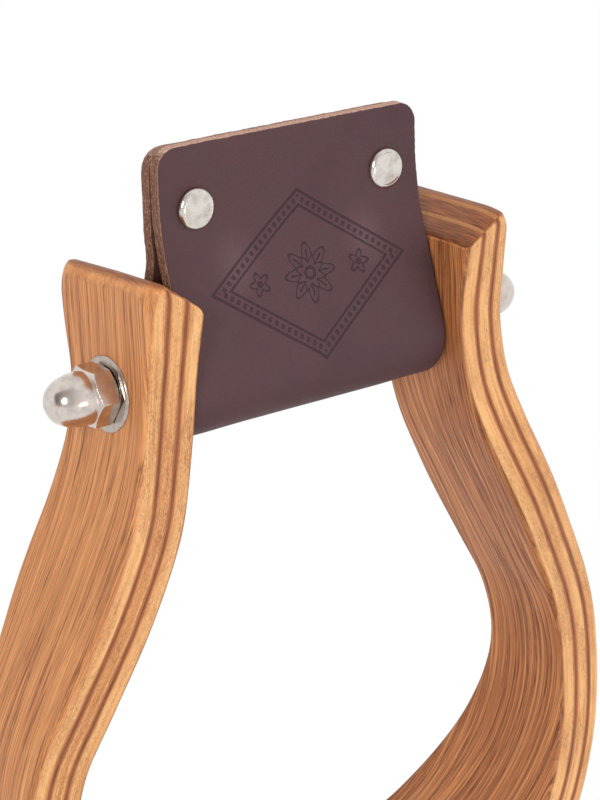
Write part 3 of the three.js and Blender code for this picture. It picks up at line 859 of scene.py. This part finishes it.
def leather_finish(name, tooled):
    """Thick leather: a waxed grain side with fine creases and a mottled red-brown, with painted sheen beside
    the rivets and along the bottom of the fold, a suede flesh side, and fibrous raw edges with a paler line
    under the grain, their cut ends painted paler, partly as painted light from above."""
    purple = tone(88, 56, 61)
    olive = tone(83, 60, 60)
    deep = tone(68, 43, 47)
    flesh = tone(104, 70, 58)
    edge_mid = tone(148, 106, 84)
    edge_dark = tone(88, 54, 42)
    edge_light = tone(196, 156, 134)
    pale_and_lit_top = tone(232, 188, 168)
    tool_dark = tone(58, 36, 38)
    painted_sheen = tone(122, 94, 97)

    material, wire, shader = new_finish(name, Specular_IOR_Level=0.3)
    place = attribute(wire, "hide_place")
    facing = attribute(wire, "hide_facing")
    across, along, through = parts_of(place)
    _, facing_end, facing_out = parts_of(facing)

    clouds = speckle(place, (0.1, 0.1, 0.1), detail=6.0, roughness=0.75)
    wash = speckle(place, (0.035, 0.035, 0.035), detail=2.0)
    grain = speckle(place, (2.6, 2.6, 2.6), detail=3.0, roughness=0.65)
    cells = place.node("TexVoronoi", {"Vector": place, "Scale": 1.7}, feature="DISTANCE_TO_EDGE")
    creases = 1 - rise(cells, 0.0, 0.16)
    colour = mixed(rise(clouds, 0.3, 0.72) * 0.8, purple, olive)
    colour = mixed(rise(wash, 0.42, 0.75) * 0.4, colour, deep)
    # Painted sheen: the colour is lighter in soft patches beside the rivets and in a band along the bottom
    # of the fold, standing in for the sheen of the waxed grain.
    sheen_across, sheen_along = 19.0, 44.0
    sideways = abs(across) - sheen_across
    upwards = abs(along) - sheen_along
    off = across.math("SQRT", sideways * sideways * 0.6 + upwards * upwards * 0.35)
    sheen_share = (1 - rise(off, 0.0, 6.5)) * 0.34 + (1 - rise(abs(along), 4.0, 13.0)) * 0.1
    colour = mixed(sheen_share, colour, painted_sheen)
    colour = mixed(rise(grain, 0.42, 0.8) * 0.4 + creases * 0.16, colour, deep)
    height = 0.5 * grain - creases * 0.35

    if tooled:
        centre_across, centre_along = 1.0, -38.0
        line, thin_line, soft = 0.16, 0.12, 0.16
        wide, tall = 28, 20
        dash_inset, dash_half, thin_inset = 1.5, 0.42, 3.0
        petal_count, petal_ring, petal_swing = 8, 5.6, 1.5
        inner_ring, inner_swing = 3.3, 0.8
        button_ring, bud_ring = 1.3, 0.5
        flower_offset, flower_petals, flower_ring, flower_swing = 14.5, 5, 2.1, 0.7
        pattern_top = -11.0
        x = across - centre_across
        y = along - centre_along

        def pressed(distance, half=line):
            return 1 - rise(abs(distance), half, half + soft)

        radius = x.math("SQRT", x * x + y * y)
        turn = y.math("ARCTAN2", y, x)
        side = hypot(wide, tall)
        lozenge = (abs(x) / wide + abs(y) / tall - 1) * (wide * tall / side)
        run = (abs(x) * wide - abs(y) * tall) * (1 / side)
        dashes = pressed(lozenge + dash_inset, dash_half) * rise(run.math("SINE", run * 3.3), 0.05, 0.35)
        petals = pressed(radius - petal_ring - petal_swing * turn.math("COSINE", turn * petal_count))
        opposite = turn.math("COSINE", turn * petal_count + pi)
        inner = pressed(radius - inner_ring - inner_swing * opposite, 0.1)
        spokes = rise(turn.math("COSINE", turn * petal_count), 0.93, 0.99)
        spokes = spokes * rise(radius, 2.2, 2.5) * (1 - rise(radius, 5.2, petal_ring))
        button = pressed(radius - button_ring, 0.2)
        side_x = abs(x) - flower_offset
        side_radius = x.math("SQRT", side_x * side_x + y * y)
        side_turn = y.math("ARCTAN2", y, side_x)
        wave = side_turn.math("COSINE", side_turn * flower_petals)
        flower = pressed(side_radius - flower_ring - flower_swing * wave)
        bud = pressed(side_radius - bud_ring, 0.2)
        marks = pressed(lozenge)
        thin = pressed(lozenge + thin_inset, thin_line)
        for mark in (thin, dashes, petals, inner, spokes, button, flower, bud):
            marks = marks.math("MAXIMUM", marks, mark)
        marks = marks * rise(facing_out, 0.7, 0.9) * (1 - rise(along, pattern_top - 1, pattern_top))
        colour = mixed(marks * 0.8, colour, tool_dark)
        height = height - 5 * marks

    fibres = speckle(place, (2.4, 2.4, 4), detail=3.0, roughness=0.75)
    strands = speckle(place, (0.9, 0.9, 3), detail=3.0, roughness=0.7)
    edge = mixed(rise(fibres, 0.36, 0.58), edge_dark, edge_mid)
    edge = mixed(rise(strands, 0.52, 0.68), edge, edge_light)
    edge = mixed(rise(through, 1.0, 1.45) * 0.4, edge, edge_light)
    behind = rise(along, -1.0, 1.0)
    # The cut ends, which are the tops of the cover's two layers, are painted paler than its side edges. This
    # is partly their own paler cut and partly a painted highlight of the light from above.
    top = mixed(rise(fibres, 0.3, 0.6) * (1 - 0.45 * behind), edge_mid, pale_and_lit_top)
    top = mixed(rise(0 - through, 0.7, 1.45) * 0.75, top, edge_dark)
    top = mixed(behind * rise(strands, 0.5, 0.62) * 0.6, top, edge_dark)
    edge = mixed(rise(abs(facing_end), 0.55, 0.85), edge, top)
    nap = speckle(place, (3, 3, 3), detail=3.0, roughness=0.7)
    back = mixed(rise(nap, 0.35, 0.7), flesh, edge_dark)

    outside = rise(facing_out, 0.45, 0.75)
    inside = rise(0 - facing_out, 0.45, 0.75)
    colour = mixed(outside, mixed(inside, edge, back), colour)
    feed(shader, "Base Color", colour)
    feed(shader, "Roughness", 0.86 - outside * (0.36 - 0.12 * clouds))
    bumped(shader, outside * height + (1 - outside) * 1.6 * fibres, 0.00007)
    return material


def around(bm, places, radius, depth):
    """Presses the grain side in round heads that are pulled tight on it."""
    for v in bm.verts:
        if v.co.z < 0:
            continue
        for x, y in places:
            off = hypot(v.co.x - x, v.co.y - y)
            v.co.z -= depth * exp(-((off / radius) ** 4))


lengths = [c - cover_reach[-1] for c in cover_cuts]
lengths += spread(cover_cuts[-1] - cover_reach[-1], cover_reach[1] - cover_cuts[-1], hide_spacing)
lengths += [cover_reach[1] - c for c in reversed(cover_cuts)]
hide_layers = [c - leather_half for c in hide_cuts] + [leather_half - c for c in reversed(hide_cuts)]
bm = board([both_ends(cover_half_width, cover_cuts, hide_spacing), lengths, hide_layers])
cut_hide(bm, cover_half_width, -cover_reach[-1], cover_reach[1], cover_corner)
rivets = [(side * rivet_spread, end * rivet_along[end]) for side in (-1, 1) for end in (-1, 1)]
for v in bm.verts:
    if v.co.z > 0:
        v.co.z += cover_rise + waviness * rough((v.co.x, v.co.y, 0), cover_wave, seed=11)
around(bm, rivets, rivet_seat, rivet_pull)
mesh = marked(bm, "hide")
for v in mesh.vertices:
    across, along, through = v.co
    end = 1 if along > 0 else -1
    out, up, heading = walk(cover_legs[end], abs(along))
    v.co = (across, (out + through * sin(heading)) * end, fold_bottom + up - through * cos(heading))
mesh.flip_normals()
tooled_leather = leather_finish("tooled_leather", tooled=True)
piece("folded_cover", mesh, "cover", "leather_cover", tooled_leather)


# Rivets. Tubular, of nickel-plated brass: a flat-crowned cap with a round rim in front, and another
# behind, pressed together through both layers of leather by hand, which left them dented.
rivet_head = 1.7 * mm
rivet_post = 1.9 * mm
rivet_prong = 0.855 * mm
cap_profile = [(0, 4.6), (0.1, 4.8), (0.3, 4.9), (0.55, 4.9), (0.8, 4.82), (1.05, 4.66), (1.28, 4.42),
               (1.42, 4.2), (1.46, 4.08), (1.42, 4), (1.4, 3.94), (1.43, 3.86), (1.48, 3.7), (1.53, 3.2),
               (1.59, 2.5), (1.64, 1.8), (1.68, 0.9), (1.7, 0)]
dented_from = 1.45 * mm
dent_depth = 0.02 * mm
dent_size = 2.8 * mm

nickel = plate_finish(
    "nickel_plate", tone(224, 217, 210), tone(168, 158, 147), roughness=0.14, dents=0.04
)
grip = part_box("left_rivet_post")[1].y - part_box("left_rivet_post")[0].y - rivet_head
for side, hand in ((-1, "left"), (1, "right")):
    for end, half in ((-1, "post"), (1, "cap")):
        node = f"{hand}_rivet_{half}"
        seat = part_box(node)[0].y + rivet_head if end < 0 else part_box(node)[1].y - rivet_head
        shank = grip if end < 0 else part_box(node)[1].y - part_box(node)[0].y - rivet_head
        shank_radius = rivet_post if end < 0 else rivet_prong
        profile = [(-shank, 0), (-shank, shank_radius), (0, shank_radius)]
        bm = turned(profile + [(x * mm, r * mm) for x, r in cap_profile], segments=72)
        for v in bm.verts:
            if v.co.x > dented_from:
                v.co.x += dent_depth * rough((v.co.y, v.co.z, side * end * mm), dent_size, seed=5 + side)
        turn = Matrix.Rotation(end * upright, 4, "Z")
        place = Matrix.Translation((side * rivet_spread, seat, rivet_height)) @ turn
        mesh = placed(bm, place, smooth_angle=40)
        piece(f"{hand}_rivet_{'front' if end < 0 else 'back'}", mesh, "cover", node, nickel)


# Tread pad and tacks. A piece of the same leather lies grain side up on the flat of the tread, held
# by six brass-plated upholstery tacks driven into the oak.
pad_low, pad_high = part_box("tread_pad")
pad_round = 5 * mm
pad_rise = 0.1 * mm
pad_wave = 14 * mm
tack_head = 1.9 * mm
tack_seat = 5.2 * mm
tack_pull = 0.3 * mm
tack_profile = [(-5.2, 0), (-4, 0.88), (0, 0.9), (0, 3.4), (0.1, 3.6), (0.3, 3.7), (0.52, 3.62), (0.66, 3.4),
                (0.7, 3.2), (0.86, 2.95), (1.2, 2.4), (1.52, 1.75), (1.76, 1.05), (1.87, 0.5), (1.9, 0)]
tacks = {f"tread_tack_{i}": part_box(f"tread_tack_{i}") for i in range(1, 7)}
tack_places = [((low.x + high.x) / 2, (low.y + high.y) / 2) for low, high in tacks.values()]

pad_half = (pad_high - pad_low) / 2
pad_cuts = [both_ends(half, cover_cuts, hide_spacing) for half in (pad_half.x, pad_half.y)]
bm = board([*pad_cuts, hide_layers])
cut_hide(bm, pad_half.x, -pad_half.y, pad_half.y, pad_round)
for v in bm.verts:
    if v.co.z > 0:
        v.co.z += pad_rise + waviness * rough((v.co.x, v.co.y, 0), pad_wave, seed=23)
around(bm, tack_places, tack_seat, tack_pull)
mesh = marked(bm, "hide")
for v in mesh.vertices:
    v.co.z += (pad_low.z + pad_high.z) / 2
plain_leather = leather_finish("plain_leather", tooled=False)
piece("tread_leather", mesh, "wood_frame", "tread_pad", plain_leather)

brass = plate_finish(
    "brass_plate", tone(216, 180, 112), tone(150, 112, 62), roughness=0.2, dents=0.3
)
for (name, (_, high)), (x, y) in zip(tacks.items(), tack_places):
    bm = turned([(x * mm, r * mm) for x, r in tack_profile], segments=40)
    place = Matrix.Translation((x, y, high.z - tack_head)) @ Matrix.Rotation(-upright, 4, "Y")
    mesh = placed(bm, place, smooth_angle=45)
    piece("brass_" + name, mesh, "wood_frame", name, brass)
